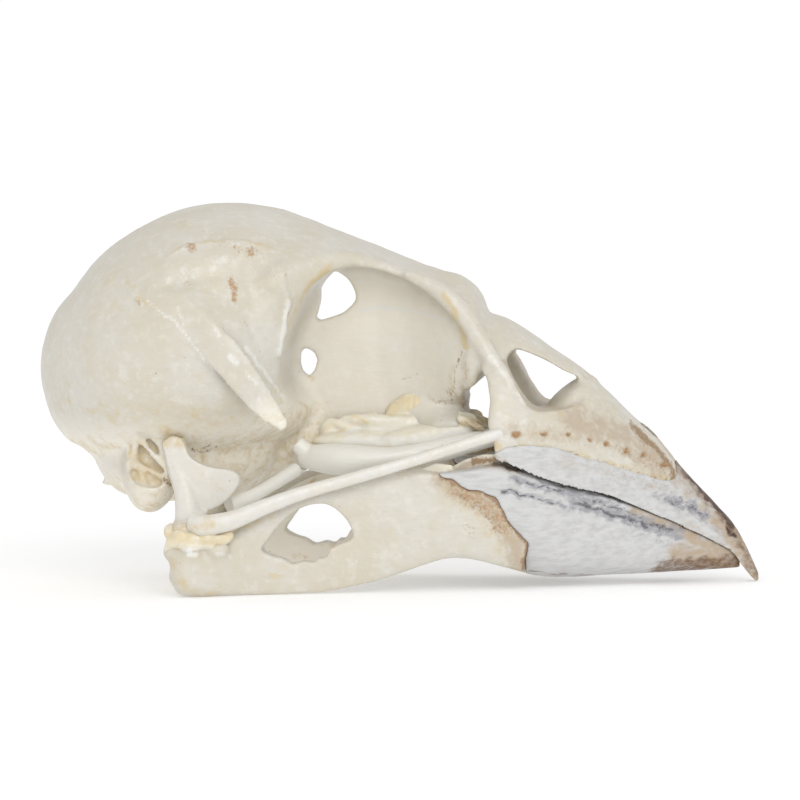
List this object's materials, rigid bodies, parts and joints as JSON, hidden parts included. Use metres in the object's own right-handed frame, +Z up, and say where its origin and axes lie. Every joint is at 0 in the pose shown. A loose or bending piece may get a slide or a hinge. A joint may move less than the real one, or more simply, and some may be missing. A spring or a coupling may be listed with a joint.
{
  "type": "greenfinch skull",
  "caption": "Finch skull with its lower jaw and horn bill sheaths, lying on its jaw as a life-size museum model.",
  "frame": {"origin": "centre of the bounding box's bottom face, on the floor the skull lies on", "axes": "+X from the back of the head to the bill's tip, +Y to the bird's left, +Z up"},
  "size_m": [0.0316, 0.0154, 0.0169],
  "materials": {
    "bone": "cleaned cream-white bone, satin, slightly translucent where thin",
    "dense_bone": "whiter dense bone, satin",
    "horn": "dry bill horn: chalky white with grey bands and a brown tip"
  },
  "bodies": {
    "root": {"cranium": "bone", "upper_bill": "bone", "upper_sheath": "horn", "mandible": "bone", "lower_sheath": "horn", "quadrate_right": "dense_bone", "quadrate_left": "dense_bone", "jugal_bar_right": "dense_bone", "jugal_bar_left": "dense_bone", "palatine_right": "dense_bone", "palatine_left": "dense_bone", "pterygoid_right": "dense_bone", "pterygoid_left": "dense_bone"}
  },
  "joints": []
}
